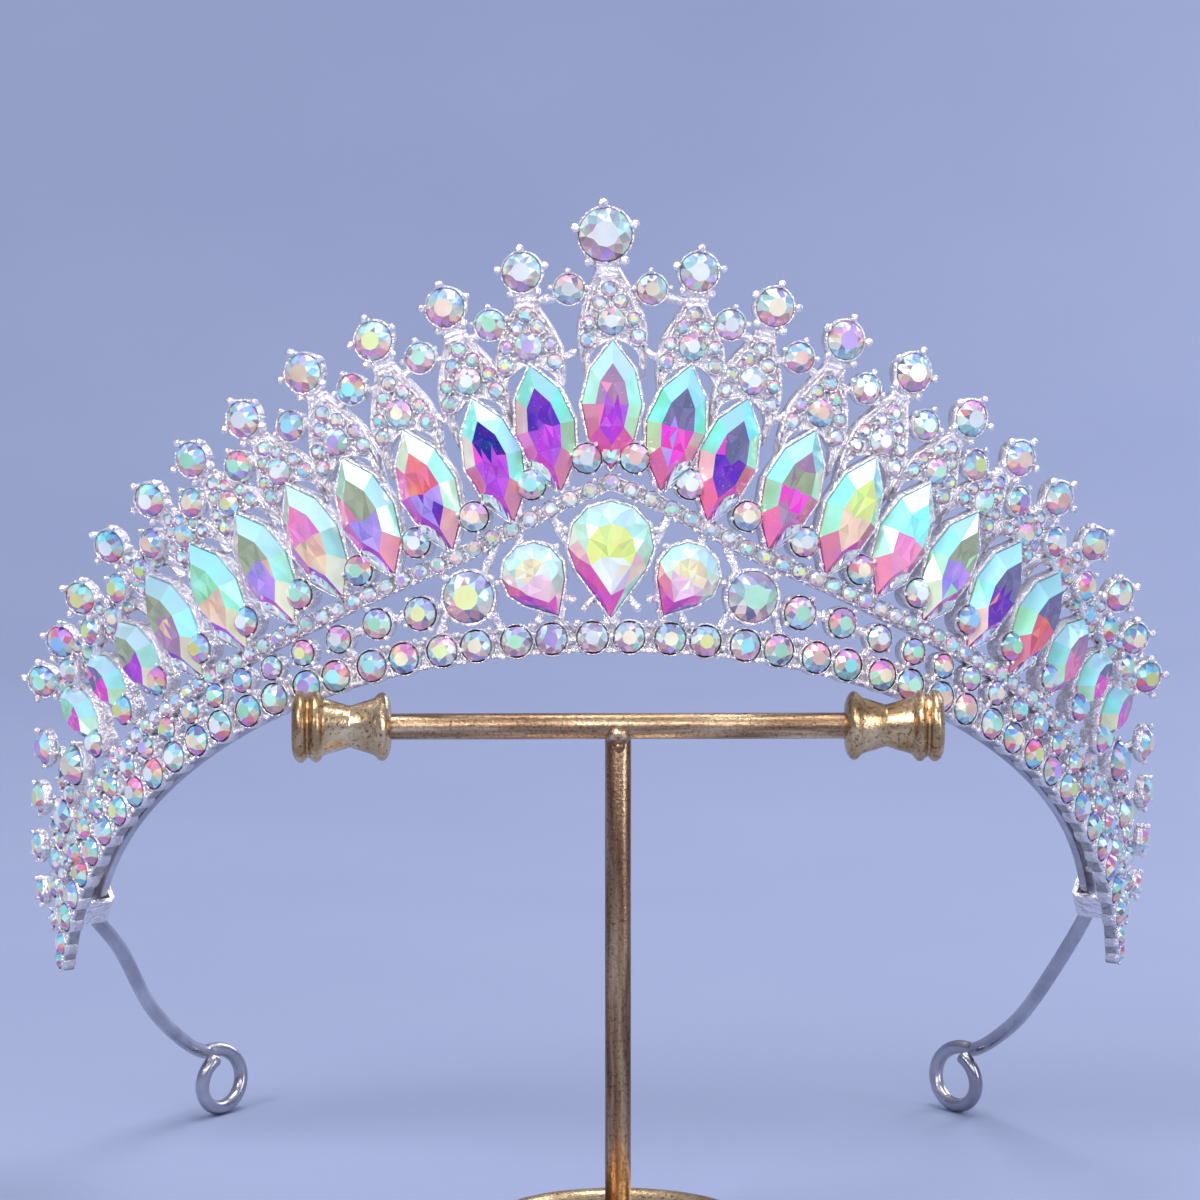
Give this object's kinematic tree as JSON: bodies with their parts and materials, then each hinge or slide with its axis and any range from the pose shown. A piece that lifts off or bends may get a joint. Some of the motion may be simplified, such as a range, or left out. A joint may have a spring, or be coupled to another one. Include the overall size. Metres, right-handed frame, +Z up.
{
  "type": "bridal crown on a T-bar display stand",
  "caption": "Curved silver bridal crown with iridescent marquise, pear and round crystals and a wire headband, resting on a gold T-bar display stand with a round foot.",
  "frame": {"origin": "centre of the underside of the stand's foot, on the table", "axes": "+Z up, +X to the right as seen from the front, +Y from the crown's front to its back"},
  "size_m": [0.1432, 0.0987, 0.1257],
  "materials": {
    "silver_casting": "bright silver plate over a fine-grained casting",
    "silver_wire": "silver plate, duller at the back",
    "crystal": "faceted glass with an iridescent coating and a foil back",
    "antique_gold": "antique gold, brown in the hollows"
  },
  "bodies": {
    "root": {"front_casting": "silver_casting", "headband": "silver_wire", "top_stone": "crystal", "spike_stones_left": "crystal", "spike_stones_right": "crystal", "pear_middle": "crystal", "pear_left": "crystal", "pear_right": "crystal", "round_left": "crystal", "round_right": "crystal", "marquise_0": "crystal", "marquise_left_1": "crystal", "marquise_left_2": "crystal", "marquise_left_3": "crystal", "marquise_left_4": "crystal", "marquise_left_5": "crystal", "marquise_left_6": "crystal", "marquise_left_7": "crystal", "marquise_left_8": "crystal", "marquise_left_9": "crystal", "marquise_left_10": "crystal", "marquise_left_11": "crystal", "marquise_right_1": "crystal", "marquise_right_2": "crystal", "marquise_right_3": "crystal", "marquise_right_4": "crystal", "marquise_right_5": "crystal", "marquise_right_6": "crystal", "marquise_right_7": "crystal", "marquise_right_8": "crystal", "marquise_right_9": "crystal", "marquise_right_10": "crystal", "marquise_right_11": "crystal", "stand_foot": "antique_gold", "stand_tbar": "antique_gold", "stand_knob_left": "antique_gold", "stand_knob_right": "antique_gold"}
  },
  "joints": []
}
